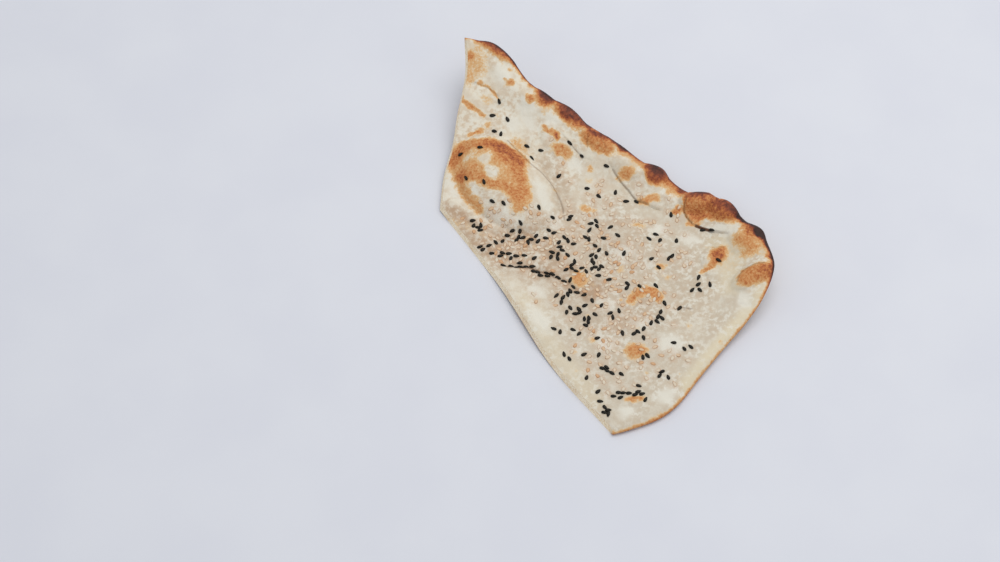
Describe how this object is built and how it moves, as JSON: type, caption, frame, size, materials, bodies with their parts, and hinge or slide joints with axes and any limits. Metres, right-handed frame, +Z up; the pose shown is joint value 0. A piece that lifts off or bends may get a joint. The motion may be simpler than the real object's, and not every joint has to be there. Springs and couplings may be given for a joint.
{
  "type": "seeded naan piece",
  "caption": "Knife-cut piece of thin, crisp naan with a puffed, charred outer edge, air blisters, a curled tip and scattered black and pale seeds fused to its top.",
  "frame": {"origin": "middle of the piece's box seen from above, at the level it rests on", "axes": "+Z up out of the baked face, +Y from the cut near corner to the curled tip, +X towards the raised baked edge"},
  "size_m": [0.1726, 0.2278, 0.0321],
  "materials": {
    "baked_bread": "dry matt baked dough, pale cream with toasted and charred spots",
    "black_seed": "dull satin seed skin, near black",
    "pale_seed": "dull satin seed skin, pale tan"
  },
  "bodies": {
    "root": {"naan": "baked_bread"}
  },
  "joints": []
}
